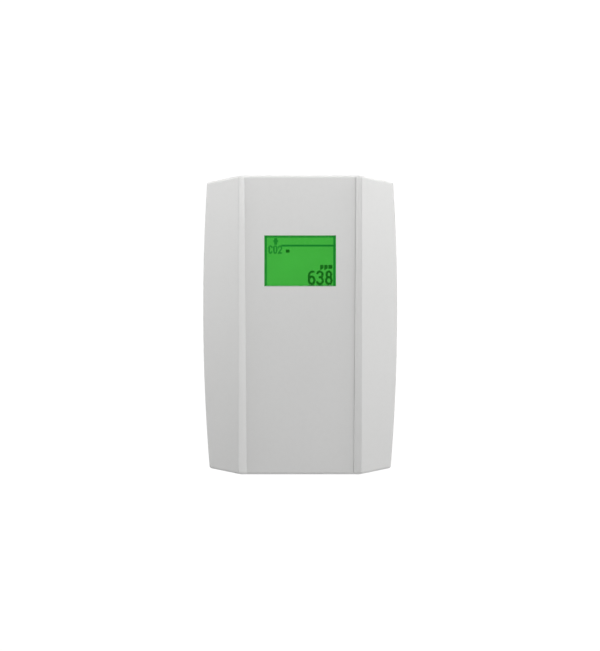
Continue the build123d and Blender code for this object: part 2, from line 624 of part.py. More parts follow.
with BuildPart() as jumper_headers:
    blocks(3 * PIN_PITCH, PIN_PITCH, BOARD_FACE, BOARD_FACE + 2.5, JUMPERS)
    holes = [(x + step * PIN_PITCH, z) for x, z in JUMPERS for step in (-1, 0, 1)]
    blocks(PIN_SIDE, PIN_SIDE, BOARD_FACE, BOARD_FACE + 2.5, holes, Mode.SUBTRACT)
jumper_headers.part.label = "jumper_headers"
export_step(jumper_headers.part, "parts/jumper_headers.step")

with BuildPart() as jumper_pins:
    blocks(PIN_SIDE, PIN_SIDE, BOARD_FACE, BOARD_FACE + 8.4, holes)
jumper_pins.part.label = "jumper_pins"
export_step(jumper_pins.part, "parts/jumper_pins.step")

for number, (x, z) in enumerate(JUMPERS, start=1):
    bridged = [(x - PIN_PITCH, z), (x, z)]
    cap_near = BOARD_FACE + 2.5 + 0.1
    with BuildPart() as output_jumper:
        blocks(2 * PIN_PITCH - 0.1, PIN_PITCH - 0.1, cap_near, cap_near + 7.0, ((x - PIN_PITCH / 2, z),))
        chamfer(output_jumper.faces().sort_by(Axis.Y)[0].edges(), 0.3)
        blocks(0.84, 0.84, cap_near, cap_near + 6.2, bridged, Mode.SUBTRACT)
    output_jumper.part.label = f"output_jumper_{number}"
    export_step(output_jumper.part, f"parts/output_jumper_{number}.step")

# ------------------------------------------------------------------ carbon dioxide cell

CELL_X, CELL_Z = CELL_CENTRE
CELL_DEPTH = BOARD_FACE + CELL_STAND
CELL_FACE = CELL_DEPTH + 1.0
CELL_HEIGHT = 6.6
CELL_WALL = 0.8
CELL_PORTS = [(CELL_X, CELL_Z - 4.5), (CELL_X, CELL_Z + 5.5)]
PORT_SIZE = (12.0, 5.0)

with BuildPart() as co2_cell_board:
    blocks(*CELL_BOARD, CELL_DEPTH, CELL_FACE, (CELL_CENTRE,))
    fillet(co2_cell_board.edges().filter_by(Axis.Y), 1.0)
co2_cell_board.part.label = "co2_cell_board"
export_step(co2_cell_board.part, "parts/co2_cell_board.step")

with BuildPart() as co2_cell_pins:
    ends = []
    for end in (-1, 1):
        ends += [(CELL_X + (pin - 2) * PIN_PITCH, CELL_Z + end * 15.4) for pin in range(5)]
    blocks(0.64, 0.64, BOARD_FACE, CELL_DEPTH, ends)
    blocks(2.0, 2.2, BOARD_FACE + 0.3, CELL_DEPTH - 0.3, ends)
co2_cell_pins.part.label = "co2_cell_pins"
export_step(co2_cell_pins.part, "parts/co2_cell_pins.step")

with BuildPart() as co2_cell_housing:
    blocks(*CELL_HOUSING, CELL_FACE, CELL_FACE + CELL_HEIGHT, (CELL_CENTRE,))
    fillet(co2_cell_housing.edges().filter_by(Axis.Y), 1.5)
    fillet(co2_cell_housing.faces().sort_by(Axis.Y)[0].edges(), 0.6)
    inside = (CELL_HOUSING[0] - 2 * CELL_WALL, CELL_HOUSING[1] - 2 * CELL_WALL)
    blocks(*inside, CELL_FACE, CELL_FACE + CELL_HEIGHT - CELL_WALL, (CELL_CENTRE,), Mode.SUBTRACT)
    # Two ports let the room air through the filters, which lie in shallow seats over them.
    blocks(*PORT_SIZE, CELL_FACE + CELL_HEIGHT - 0.4, CELL_FACE + CELL_HEIGHT, CELL_PORTS, Mode.SUBTRACT)
    port_holes = [(x + step * 2.4, z) for x, z in CELL_PORTS for step in range(-2, 3)]
    rods(0.7, CELL_FACE + 1, CELL_FACE + CELL_HEIGHT, port_holes, Mode.SUBTRACT)
co2_cell_housing.part.label = "co2_cell_housing"
export_step(co2_cell_housing.part, "parts/co2_cell_housing.step")

with BuildPart() as co2_cell_filters:
    blocks(11.8, 4.8, CELL_FACE + CELL_HEIGHT - 0.4, CELL_FACE + CELL_HEIGHT - 0.1, CELL_PORTS)
co2_cell_filters.part.label = "co2_cell_filters"
export_step(co2_cell_filters.part, "parts/co2_cell_filters.step")

with BuildPart() as co2_cell_lamp:
    rods(1.6, CELL_FACE, CELL_FACE + 3.6, ((CELL_X, CELL_Z - 8.5),))
    fillet(co2_cell_lamp.faces().sort_by(Axis.Y)[0].edges(), 1.2)
co2_cell_lamp.part.label = "co2_cell_lamp"
export_step(co2_cell_lamp.part, "parts/co2_cell_lamp.step")

with BuildPart() as co2_cell_detector:
    rods(3.0, CELL_FACE, CELL_FACE + 0.5, ((CELL_X, CELL_Z + 7.5),))
    rods(2.6, CELL_FACE + 0.5, CELL_FACE + 3.2, ((CELL_X, CELL_Z + 7.5),))
    blocks(1.8, 1.8, CELL_FACE + 3.0, CELL_FACE + 3.2, ((CELL_X, CELL_Z + 7.5),), Mode.SUBTRACT)
co2_cell_detector.part.label = "co2_cell_detector"
export_step(co2_cell_detector.part, "parts/co2_cell_detector.step")

with BuildPart() as climate_sensor:
    blocks(3.0, 3.0, BOARD_FACE, BOARD_FACE + 1.1, ((32.5, -62.6),))
    rods(0.7, BOARD_FACE + 0.8, BOARD_FACE + 1.1, ((32.5, -62.6),), Mode.SUBTRACT)
climate_sensor.part.label = "climate_sensor"
export_step(climate_sensor.part, "parts/climate_sensor.step")

# ------------------------------------------------------------------ display board on its spacers

with BuildPart() as display_spacers:
    # Hexagonal spacers with a stud through the main board and a threaded hole at the other end.
    with BuildSketch(layer(BOARD_FACE)):
        with Locations(*SPACERS):
            RegularPolygon(SPACER_FLATS / 2, 6, major_radius=False)
    extrude(amount=SPACER_LENGTH)
    rods(SCREW_HOLE_RADIUS, BOARD_FACE + 6, DISPLAY_BOARD_DEPTH, SPACERS, Mode.SUBTRACT)
    rods(SCREW_RADIUS, BOARD_DEPTH - 2.4, BOARD_FACE, SPACERS)
display_spacers.part.label = "display_spacers"
export_step(display_spacers.part, "parts/display_spacers.step")

with BuildPart() as spacer_nuts:
    with BuildSketch(layer(BOARD_DEPTH - 2.0)):
        with Locations(*SPACERS):
            RegularPolygon(2.75, 6, major_radius=False)
        with Locations(*SPACERS):
            Circle(SCREW_HOLE_RADIUS, mode=Mode.SUBTRACT)
    extrude(amount=2.0)
spacer_nuts.part.label = "spacer_nuts"
export_step(spacer_nuts.part, "parts/spacer_nuts.step")

with BuildPart() as display_board:
    height = DISPLAY_BOARD_Z[1] - DISPLAY_BOARD_Z[0]
    middle = (0, sum(DISPLAY_BOARD_Z) / 2)
    blocks(2 * DISPLAY_BOARD_HALF_WIDTH, height, DISPLAY_BOARD_DEPTH, DISPLAY_FACE, (middle,))
    fillet(display_board.edges().filter_by(Axis.Y), 1.0)
    rods(BOARD_HOLE_RADIUS, DISPLAY_BOARD_DEPTH, DISPLAY_FACE, SPACERS, Mode.SUBTRACT)
display_board.part.label = "display_board"
export_step(display_board.part, "parts/display_board.step")

with BuildPart() as display_screws:
    rods(SCREW_RADIUS, DISPLAY_BOARD_DEPTH - 6, DISPLAY_FACE, SPACERS)
    rods(SCREW_HEAD_RADIUS, DISPLAY_FACE, DISPLAY_FACE + SCREW_HEAD_HEIGHT, SPACERS)
    heads = display_screws.faces().filter_by(Axis.Y).sort_by(Axis.Y)[: len(SPACERS)]
    chamfer(heads.edges(), 0.4)
    screw_drive(DISPLAY_FACE + SCREW_HEAD_HEIGHT, SPACERS)
display_screws.part.label = "display_screws"
export_step(display_screws.part, "parts/display_screws.step")

# ------------------------------------------------------------------ connector between the boards

LINK_Z = 46.0
LINK_PINS = [((pin - 4.5) * PIN_PITCH, LINK_Z) for pin in range(10)]
SOCKET_HEIGHT = 8.5
LINK_LENGTH = 10 * PIN_PITCH

with BuildPart() as link_socket:
    blocks(LINK_LENGTH, PIN_PITCH, BOARD_FACE, BOARD_FACE + SOCKET_HEIGHT, ((0, LINK_Z),))
    blocks(0.9, 0.9, BOARD_FACE + 1, BOARD_FACE + SOCKET_HEIGHT, LINK_PINS, Mode.SUBTRACT)
link_socket.part.label = "link_socket"
export_step(link_socket.part, "parts/link_socket.step")

with BuildPart() as link_header:
    blocks(LINK_LENGTH, PIN_PITCH, DISPLAY_BOARD_DEPTH - 2.5, DISPLAY_BOARD_DEPTH, ((0, LINK_Z),))
    blocks(PIN_SIDE, PIN_SIDE, DISPLAY_BOARD_DEPTH - 2.5, DISPLAY_BOARD_DEPTH, LINK_PINS, Mode.SUBTRACT)
link_header.part.label = "link_header"
export_step(link_header.part, "parts/link_header.step")

with BuildPart() as link_pins:
    blocks(PIN_SIDE, PIN_SIDE, BOARD_FACE + 3, DISPLAY_BOARD_DEPTH, LINK_PINS)
link_pins.part.label = "link_pins"
export_step(link_pins.part, "parts/link_pins.step")

# ------------------------------------------------------------------ display

GLASS_TOP_Z = WINDOW_CENTRE[1] + GLASS[1] / 2
RIBBON_HALF_WIDTH = 6.0

with BuildPart() as lcd_backlight:
    blocks(*GLASS, DISPLAY_FACE, GLASS_DEPTH, (WINDOW_CENTRE,))
    # Steps in the left end that the lamps sit in.
    lamp_places = [(WINDOW_CENTRE[0] - GLASS[0] / 2 + 0.6, WINDOW_CENTRE[1] + step) for step in (-8, 8)]
    blocks(1.2, 4.2, DISPLAY_FACE, DISPLAY_FACE + 1.4, lamp_places, Mode.SUBTRACT)
lcd_backlight.part.label = "lcd_backlight"
export_step(lcd_backlight.part, "parts/lcd_backlight.step")

with BuildPart() as backlight_lamps:
    blocks(0.9, 3.8, DISPLAY_FACE, DISPLAY_FACE + 1.2, [(x - 0.1, z) for x, z in lamp_places])
backlight_lamps.part.label = "backlight_lamps"
export_step(backlight_lamps.part, "parts/backlight_lamps.step")

with BuildPart() as lcd_glass:
    # Two sheets of glass. The rear one is longer, and its ledge carries the ribbon.
    blocks(*GLASS, GLASS_DEPTH, GLASS_DEPTH + GLASS_THICKNESS / 2, (WINDOW_CENTRE,))
    ledge = 1.4
    front_middle = (WINDOW_CENTRE[0], WINDOW_CENTRE[1] - ledge / 2)
    blocks(GLASS[0], GLASS[1] - ledge, GLASS_DEPTH + GLASS_THICKNESS / 2, GLASS_FACE, (front_middle,))
lcd_glass.part.label = "lcd_glass"
export_step(lcd_glass.part, "parts/lcd_glass.step")

with BuildPart() as lcd_bezel:
    outer = (GLASS[0] + 2 * BEZEL_WALL + 0.4, GLASS[1] + 2 * BEZEL_WALL + 0.4)
    blocks(*outer, DISPLAY_FACE, BEZEL_FACE, (WINDOW_CENTRE,))
    chamfer(lcd_bezel.faces().sort_by(Axis.Y)[0].edges(), 0.3)
    pocket = (GLASS[0] + 0.4, GLASS[1] + 0.4)
    blocks(*pocket, DISPLAY_FACE, BEZEL_FACE - BEZEL_LIP, (WINDOW_CENTRE,), Mode.SUBTRACT)
    blocks(WINDOW[0] + 0.8, WINDOW[1] + 0.8, DISPLAY_FACE, BEZEL_FACE, (WINDOW_CENTRE,), Mode.SUBTRACT)
    # Gap in the top wall for the ribbon.
    gap = (2 * RIBBON_HALF_WIDTH + 1, BEZEL_WALL + 1)
    blocks(*gap, DISPLAY_FACE, BEZEL_FACE - BEZEL_LIP, ((0, GLASS_TOP_Z + BEZEL_WALL / 2),), Mode.SUBTRACT)
lcd_bezel.part.label = "lcd_bezel"
export_step(lcd_bezel.part, "parts/lcd_bezel.step")

with BuildPart() as ribbon_connector:
    blocks(2 * RIBBON_HALF_WIDTH + 3, 2.6, DISPLAY_FACE, DISPLAY_FACE + 1.6, ((0, 53.2),))
    mouth = (2 * RIBBON_HALF_WIDTH + 0.4, 1.6)
    blocks(*mouth, DISPLAY_FACE + 0.4, DISPLAY_FACE + 0.9, ((0, 52.4),), Mode.SUBTRACT)
ribbon_connector.part.label = "ribbon_connector"
export_step(ribbon_connector.part, "parts/ribbon_connector.step")

with BuildPart() as lcd_ribbon:
    # Flat flexible strip from the ledge of the glass down into its connector.
    ribbon_thickness = 0.2
    ledge_depth = GLASS_DEPTH + GLASS_THICKNESS / 2
    with BuildSketch(Plane.YZ):
        with BuildLine() as ribbon_path:
            FilletPolyline(
                (-ledge_depth - ribbon_thickness / 2, GLASS_TOP_Z - 1.2),
                (-ledge_depth - ribbon_thickness / 2, GLASS_TOP_Z + 1.6),
                (-DISPLAY_FACE - 0.65, GLASS_TOP_Z + 2.2),
                (-DISPLAY_FACE - 0.65, 53.0),
                radius=0.9,
            )
        trace(ribbon_path.line, ribbon_thickness)
    extrude(amount=RIBBON_HALF_WIDTH, both=True)
lcd_ribbon.part.label = "lcd_ribbon"
export_step(lcd_ribbon.part, "parts/lcd_ribbon.step")

# ------------------------------------------------------------------ buttons

buttons = [(x, BUTTON_Z) for x in BUTTON_X]
BUTTON_BODY = 3.4
PLUNGER_REAR = DISPLAY_FACE + 1.4
CROWN_FACE = DISPLAY_FACE + BUTTON_BODY

with BuildPart() as button_bodies:
    blocks(6.0, 6.0, DISPLAY_FACE, CROWN_FACE, buttons)
    rods(BUTTON_RADIUS + 0.7, PLUNGER_REAR - BUTTON_TRAVEL - 0.4, CROWN_FACE, buttons, Mode.SUBTRACT)
button_bodies.part.label = "button_bodies"
export_step(button_bodies.part, "parts/button_bodies.step")

with BuildPart() as button_frames:
    # Steel plates riveted over the bodies, each with a hole for its plunger.
    blocks(6.2, 6.2, CROWN_FACE, CROWN_FACE + 0.3, buttons)
    rods(BUTTON_RADIUS + RUNNING_GAP, CROWN_FACE, CROWN_FACE + 0.3, buttons, Mode.SUBTRACT)
    rivets = [(x + a * 2.4, z + b * 2.4) for x, z in buttons for a in (-1, 1) for b in (-1, 1)]
    rods(0.35, CROWN_FACE + 0.3, CROWN_FACE + 0.5, rivets)
button_frames.part.label = "button_frames"
export_step(button_frames.part, "parts/button_frames.step")

for name, place in zip(BUTTON_NAMES, buttons):
    with BuildPart() as plunger:
        rods(BUTTON_RADIUS, PLUNGER_REAR, DISPLAY_FACE + BUTTON_TOP_ABOVE_BOARD, (place,))
        rods(BUTTON_RADIUS + 0.4, PLUNGER_REAR, CROWN_FACE - 0.1, (place,))
        fillet(plunger.faces().sort_by(Axis.Y)[0].edges(), 0.3)
    plunger.part.label = f"{name}_button"
    export_step(plunger.part, f"parts/{name}_button.step")
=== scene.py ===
import json
import math
import random

import bmesh
import bpy
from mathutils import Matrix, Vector


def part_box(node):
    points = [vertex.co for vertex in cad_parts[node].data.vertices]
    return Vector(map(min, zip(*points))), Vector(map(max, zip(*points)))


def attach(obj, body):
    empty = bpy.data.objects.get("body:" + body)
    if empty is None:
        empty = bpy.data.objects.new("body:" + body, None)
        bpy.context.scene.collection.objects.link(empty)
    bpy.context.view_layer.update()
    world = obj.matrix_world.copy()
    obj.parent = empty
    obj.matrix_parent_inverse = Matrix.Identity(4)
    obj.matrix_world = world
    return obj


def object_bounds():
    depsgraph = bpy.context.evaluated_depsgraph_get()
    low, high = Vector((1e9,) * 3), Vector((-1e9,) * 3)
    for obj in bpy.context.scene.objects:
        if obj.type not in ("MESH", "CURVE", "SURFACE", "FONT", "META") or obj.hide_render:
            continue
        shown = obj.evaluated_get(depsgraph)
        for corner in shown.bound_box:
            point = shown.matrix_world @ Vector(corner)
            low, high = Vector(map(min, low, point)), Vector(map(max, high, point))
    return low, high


# Looks of a wall-mounted room air quality monitor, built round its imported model. Everything is in
# metres in the model's frame: X to the right, Z up, the wall at y = 0 and the room on the -Y side.

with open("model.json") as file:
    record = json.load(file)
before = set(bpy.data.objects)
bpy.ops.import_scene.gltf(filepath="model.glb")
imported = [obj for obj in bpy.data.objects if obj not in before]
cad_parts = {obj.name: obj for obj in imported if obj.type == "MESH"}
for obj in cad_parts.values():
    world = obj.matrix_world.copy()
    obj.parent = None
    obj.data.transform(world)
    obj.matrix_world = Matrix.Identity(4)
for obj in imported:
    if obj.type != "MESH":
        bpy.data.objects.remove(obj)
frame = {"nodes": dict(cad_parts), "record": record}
cad_low, cad_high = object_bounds()
MM = 0.001


def hue(red, green, blue):
    """A colour given by its 0 to 255 display values, as the linear values that shaders take."""
    values = []
    for part in (red / 255, green / 255, blue / 255):
        values.append(part / 12.92 if part <= 0.04045 else ((part + 0.055) / 1.055) ** 2.4)
    return (*values, 1.0)


# ------------------------------------------------------------------ studio

PICTURE_HEIGHT = 332.1 * MM
CAMERA_DISTANCE = 2.5
CAMERA_SHIFT = (-0.08 * MM, -0.28 * MM)
SENSOR = 36.0
WING_DROP = 10.5 * MM
OUTLINE_Y = cad_low.y + WING_DROP
CASE_MIDDLE = Vector((0, -30 * MM, 0))
BACKDROP = 1.05
AMBIENT = 0.085
# Distances from the floor's middle, and the strength of the glow at each.
FLOOR_GLOW = (0.5, 3.5, 0.16, 0.64)
FLOOR_RADIUS = 4.0
FLOOR_Z = -0.45
# Name, degrees around and up, distance and size in metres, and power in watts.
LIGHTS = (
    ("right_light", 75, 40, 0.5, 0.3, 1.76),
    ("left_light", -75, 40, 0.5, 0.3, 1.47),
    ("front_light", -15, 40, 0.5, 0.3, 0.75),
    ("low_light", 45, -15, 0.5, 0.3, 0.40),
    ("wall_light", 160, 35, 0.9, 0.5, 2.4),
)


def make_camera():
    """Square on to the front, from far enough away to be almost free of perspective."""
    data = bpy.data.cameras.new("camera")
    data.sensor_width = SENSOR
    data.lens = SENSOR * CAMERA_DISTANCE / PICTURE_HEIGHT
    data.clip_end = 50
    camera = bpy.data.objects.new("camera", data)
    camera.location = (CAMERA_SHIFT[0], OUTLINE_Y - CAMERA_DISTANCE, CAMERA_SHIFT[1])
    camera.rotation_euler = (math.pi / 2, 0, 0)
    bpy.context.scene.collection.objects.link(camera)
    bpy.context.scene.camera = camera


def make_light(name, around, up, distance, size, power):
    """Square soft light that faces the case, placed by angles in degrees: around from straight
    ahead to the right, and up from level."""
    data = bpy.data.lights.new(name, "AREA")
    data.size = size
    data.energy = power
    light = bpy.data.objects.new(name, data)
    turn, rise = math.radians(around), math.radians(up)
    out = Vector((math.cos(rise) * math.sin(turn), -math.cos(rise) * math.cos(turn), math.sin(rise)))
    light.location = CASE_MIDDLE + distance * out
    light.rotation_mode = "QUATERNION"
    light.rotation_quaternion = (-out).to_track_quat("-Z", "Y")
    bpy.context.scene.collection.objects.link(light)


def make_world():
    """Even white surroundings: white behind the object, and dimmer as a light on it."""
    world = bpy.data.worlds.new("surroundings")
    world.use_nodes = True
    nodes, links = world.node_tree.nodes, world.node_tree.links
    nodes.clear()
    output = nodes.new("ShaderNodeOutputWorld")
    mix = nodes.new("ShaderNodeMixShader")
    backdrop = nodes.new("ShaderNodeBackground")
    backdrop.inputs["Color"].default_value = (1, 1, 1, 1)
    backdrop.inputs["Strength"].default_value = BACKDROP
    ambient = nodes.new("ShaderNodeBackground")
    ambient.inputs["Color"].default_value = (1, 1, 1, 1)
    ambient.inputs["Strength"].default_value = AMBIENT
    path = nodes.new("ShaderNodeLightPath")
    links.new(path.outputs["Is Camera Ray"], mix.inputs["Fac"])
    links.new(ambient.outputs[0], mix.inputs[1])
    links.new(backdrop.outputs[0], mix.inputs[2])
    links.new(mix.outputs[0], output.inputs["Surface"])
    bpy.context.scene.world = world


def make_floor():
    """Plain pale floor, some way under the monitor, that glows more with distance like a sweep."""
    mesh = bpy.data.meshes.new("floor")
    shape = bmesh.new()
    bmesh.ops.create_circle(shape, cap_ends=True, segments=96, radius=FLOOR_RADIUS)
    shape.to_mesh(mesh)
    shape.free()
    floor = bpy.data.objects.new("floor", mesh)
    floor.location = (0, 0, FLOOR_Z)
    material = bpy.data.materials.new("floor_paint")
    material.use_nodes = True
    nodes, links = material.node_tree.nodes, material.node_tree.links
    shader = nodes["Principled BSDF"]
    shader.inputs["Base Color"].default_value = (0.9, 0.9, 0.9, 1)
    shader.inputs["Roughness"].default_value = 0.9
    shader.inputs["Emission Color"].default_value = (1, 1, 1, 1)
    distance = nodes.new("ShaderNodeVectorMath")
    distance.operation = "LENGTH"
    links.new(nodes.new("ShaderNodeTexCoord").outputs["Object"], distance.inputs[0])
    glow = nodes.new("ShaderNodeMapRange")
    for name, value in zip(("From Min", "From Max", "To Min", "To Max"), FLOOR_GLOW):
        glow.inputs[name].default_value = value
    links.new(distance.outputs["Value"], glow.inputs["Value"])
    links.new(glow.outputs["Result"], shader.inputs["Emission Strength"])
    mesh.materials.append(material)
    bpy.context.scene.collection.objects.link(floor)


make_camera()
make_world()
make_floor()
for light_values in LIGHTS:
    make_light(*light_values)
bpy.context.scene.view_settings.view_transform = "Standard"

# ------------------------------------------------------------------ materials


class Shader:
    """One Principled material, with short calls for the nodes that feed it."""

    def __init__(self, name, colour, roughness, metallic=0.0):
        self.material = bpy.data.materials.new(name)
        self.material.use_nodes = True
        self.nodes = self.material.node_tree.nodes
        self.links = self.material.node_tree.links
        self.bsdf = self.nodes["Principled BSDF"]
        self.bsdf.inputs["Base Color"].default_value = colour
        self.bsdf.inputs["Roughness"].default_value = roughness
        self.bsdf.inputs["Metallic"].default_value = metallic
        self.place = self.nodes.new("ShaderNodeTexCoord").outputs["Object"]
        self.colour = None
        self.normal = None

    def set(self, name, value):
        self.bsdf.inputs[name].default_value = value

    def noise(self, size, detail=2.0, stretch=(1, 1, 1)):
        """Noise whose features are about size metres across."""
        vector = self.place
        if stretch != (1, 1, 1):
            mapping = self.nodes.new("ShaderNodeMapping")
            mapping.inputs["Scale"].default_value = stretch
            self.links.new(vector, mapping.inputs["Vector"])
            vector = mapping.outputs["Vector"]
        noise = self.nodes.new("ShaderNodeTexNoise")
        noise.inputs["Scale"].default_value = 1 / size
        noise.inputs["Detail"].default_value = detail
        self.links.new(vector, noise.inputs["Vector"])
        return noise.outputs["Fac"]

    def cells(self, size):
        """A random colour for each of the square-sided patches, about size metres across."""
        cells = self.nodes.new("ShaderNodeTexVoronoi")
        cells.distance = "CHEBYCHEV"
        cells.inputs["Scale"].default_value = 1 / size
        self.links.new(self.place, cells.inputs["Vector"])
        return cells.outputs["Color"]

    def span(self, value, low, high, to_low=0.0, to_high=1.0):
        """value moved from one range to another, and kept inside it."""
        node = self.nodes.new("ShaderNodeMapRange")
        node.inputs["From Min"].default_value = low
        node.inputs["From Max"].default_value = high
        node.inputs["To Min"].default_value = to_low
        node.inputs["To Max"].default_value = to_high
        self.links.new(value, node.inputs["Value"])
        return node.outputs["Result"]

    def maths(self, operation, first, second):
        node = self.nodes.new("ShaderNodeMath")
        node.operation = operation
        for socket, value in zip(node.inputs, (first, second)):
            if isinstance(value, (int, float)):
                socket.default_value = value
            else:
                self.links.new(value, socket)
        return node.outputs["Value"]

    def tint(self, factor, colour):
        """Mixes another colour over the colour so far, by a factor."""
        node = self.nodes.new("ShaderNodeMix")
        node.data_type = "RGBA"
        if self.colour is None:
            node.inputs["A"].default_value = self.bsdf.inputs["Base Color"].default_value
        else:
            self.links.new(self.colour, node.inputs["A"])
        node.inputs["B"].default_value = colour
        self.links.new(factor, node.inputs["Factor"])
        self.colour = node.outputs["Result"]
        self.links.new(self.colour, self.bsdf.inputs["Base Color"])

    def bump(self, height, depth):
        """Relief of a given depth in metres, on top of any relief so far."""
        node = self.nodes.new("ShaderNodeBump")
        node.inputs["Strength"].default_value = 1.0
        node.inputs["Distance"].default_value = depth
        self.links.new(height, node.inputs["Height"])
        if self.normal is not None:
            self.links.new(self.normal, node.inputs["Normal"])
        self.normal = node.outputs["Normal"]
        self.links.new(self.normal, self.bsdf.inputs["Normal"])

    def roughness(self, value):
        self.links.new(value, self.bsdf.inputs["Roughness"])

    def edges(self, radius):
        """1 on sharp edges and 0 on flat faces."""
        bevel = self.nodes.new("ShaderNodeBevel")
        bevel.samples = 4
        bevel.inputs["Radius"].default_value = radius
        geometry = self.nodes.new("ShaderNodeNewGeometry")
        dot = self.nodes.new("ShaderNodeVectorMath")
        dot.operation = "DOT_PRODUCT"
        self.links.new(bevel.outputs["Normal"], dot.inputs[0])
        self.links.new(geometry.outputs["Normal"], dot.inputs[1])
        return self.span(dot.outputs["Value"], 0.98, 0.75)


def shade(colour, share):
    """A colour with its red, green and blue multiplied by a share."""
    return tuple(share * part for part in colour[:3]) + (1,)


def moulded(name, colour, roughness, grain=0.45 * MM, relief=0.012 * MM, edge_highlight_colour=None):
    """Moulded plastic: a fine spark-eroded grain, slightly uneven colour, and sharp edges made paler as a
    painted highlight.
    """
    shader = Shader(name, colour, roughness)
    dull = shade(colour, 0.93)
    shader.tint(shader.span(shader.noise(60 * MM, 3), 0.35, 0.75, 0.0, 0.35), dull)
    shader.tint(shader.span(shader.noise(2.2 * MM, 4), 0.45, 0.8, 0.0, 0.25), dull)
    if edge_highlight_colour is not None:
        # Painted highlight: sharp edges mixed halfway towards a paler colour.
        shader.tint(shader.maths("MULTIPLY", shader.edges(0.5 * MM), 0.5), edge_highlight_colour)
    uneven = shader.maths("ADD", shader.noise(9 * MM, 3), shader.noise(0.9 * MM, 2))
    shader.roughness(shader.span(uneven, 0.7, 1.3, roughness - 0.08, roughness + 0.08))
    shader.bump(shader.noise(grain, 2), relief)
    shader.set("Specular IOR Level", 0.45)
    return shader.material


def metal(name, colour, roughness, brushed=(1, 1, 1)):
    """Plated metal with faint drawing lines, tarnish and small scratches."""
    shader = Shader(name, colour, roughness, 1.0)
    tarnish = shade(colour, 0.72)
    shader.tint(shader.span(shader.noise(1.6 * MM, 4), 0.5, 0.75, 0.0, 0.5), tarnish)
    streaks = shader.noise(0.25 * MM, 3, brushed)
    shader.roughness(shader.span(streaks, 0.3, 0.7, roughness - 0.07, roughness + 0.12))
    shader.bump(streaks, 0.006 * MM)
    return shader.material


def ceramic(name, colour, roughness):
    """Fired or pressed body with a grain."""
    shader = Shader(name, colour, roughness)
    pale = tuple(min(1, 1.5 * part + 0.02) for part in colour[:3]) + (1,)
    shader.tint(shader.span(shader.noise(0.3 * MM, 4), 0.5, 0.8, 0.0, 0.5), pale)
    shader.roughness(shader.span(shader.noise(0.8 * MM, 3), 0.3, 0.7, roughness - 0.1, roughness + 0.1))
    shader.bump(shader.noise(0.15 * MM, 3), 0.01 * MM)
    return shader.material


def circuit_board(name, colour, copper):
    """Solder mask over laminate: runs of tracks that change direction from patch to patch."""
    shader = Shader(name, colour, 0.32)
    split = shader.nodes.new("ShaderNodeSeparateXYZ")
    shader.links.new(shader.place, split.inputs["Vector"])
    patch = shader.cells(9 * MM)
    choice = shader.nodes.new("ShaderNodeSeparateColor")
    shader.links.new(patch, choice.inputs["Color"])
    pitch, width = 1.1 * MM, 0.32

    def tracks(coordinate):
        run = shader.maths("FRACT", shader.maths("DIVIDE", coordinate, pitch), 0)
        return shader.maths("LESS_THAN", run, width)

    upright_patch = shader.span(choice.outputs["Red"], 0.55, 0.56)
    upright = shader.maths("MULTIPLY", tracks(split.outputs["X"]), upright_patch)
    level_patch = shader.span(choice.outputs["Red"], 0.38, 0.37)
    level = shader.maths("MULTIPLY", tracks(split.outputs["Z"]), level_patch)
    track = shader.maths("MAXIMUM", upright, level)
    shader.tint(track, copper)
    shader.tint(shader.span(shader.noise(20 * MM, 3), 0.4, 0.8, 0, 0.4), shade(colour, 0.7))
    shader.roughness(shader.span(shader.noise(3 * MM, 3), 0.3, 0.7, 0.24, 0.42))
    shader.bump(track, 0.03 * MM)
    shader.bump(shader.noise(0.5 * MM, 3), 0.006 * MM)
    shader.set("Coat Weight", 0.3)
    shader.set("Coat Roughness", 0.2)
    return shader.material


def clear(name, colour, roughness=0.03, glare=0.5):
    """Clear plastic or glass with faint wipe marks."""
    shader = Shader(name, colour, roughness)
    shader.set("Transmission Weight", 1.0)
    shader.set("Specular IOR Level", glare)
    shader.set("IOR", 1.49)
    shader.roughness(shader.span(shader.noise(5 * MM, 4), 0.45, 0.8, roughness, roughness + 0.05))
    shader.bump(shader.noise(7 * MM, 2), 0.001 * MM)
    return shader.material


def felt(name, colour):
    """Pressed filter membrane with fibres."""
    shader = Shader(name, colour, 0.95)
    fibres = shader.noise(0.12 * MM, 5, (1, 1, 4))
    shader.tint(shader.span(fibres, 0.45, 0.75, 0, 0.5), shade(colour, 0.75))
    shader.roughness(shader.span(fibres, 0.3, 0.7, 0.85, 1.0))
    shader.bump(fibres, 0.04 * MM)
    return shader.material


def ribbon(name, colour, copper):
    """Amber film with copper conductors that show through along its length."""
    shader = Shader(name, colour, 0.25)
    split = shader.nodes.new("ShaderNodeSeparateXYZ")
    shader.links.new(shader.place, split.inputs["Vector"])
    pitch = 1.0 * MM
    run = shader.maths("FRACT", shader.maths("DIVIDE", split.outputs["X"], pitch), 0)
    conductor = shader.maths("LESS_THAN", run, 0.5)
    shader.tint(shader.maths("MULTIPLY", conductor, 0.7), copper)
    shader.roughness(shader.span(shader.noise(2 * MM, 3), 0.3, 0.7, 0.18, 0.34))
    shader.bump(conductor, 0.02 * MM)
    return shader.material


def glowing(name, colour):
    """Surface lit from behind, with the slight unevenness of a side-lit light guide."""
    shader = Shader(name, shade(colour, 0.1), 0.35)
    dimmer = shade(colour, 0.88)
    mix = shader.nodes.new("ShaderNodeMix")
    mix.data_type = "RGBA"
    mix.inputs["A"].default_value = colour
    mix.inputs["B"].default_value = dimmer
    cloud = shader.maths("ADD", shader.noise(14 * MM, 2), shader.noise(0.6 * MM, 2))
    shader.links.new(shader.span(cloud, 0.7, 1.4), mix.inputs["Factor"])
    shader.links.new(mix.outputs["Result"], shader.bsdf.inputs["Emission Color"])
    shader.set("Emission Strength", 1.0)
    shader.set("Specular IOR Level", 0.08)
    shader.roughness(shader.span(shader.noise(2 * MM), 0.3, 0.7, 0.3, 0.45))
    shader.bump(shader.noise(0.4 * MM), 0.004 * MM)
    return shader.material


COVER = hue(222, 222, 221)
BASE = hue(214, 214, 212)
MASK = hue(14, 84, 44)
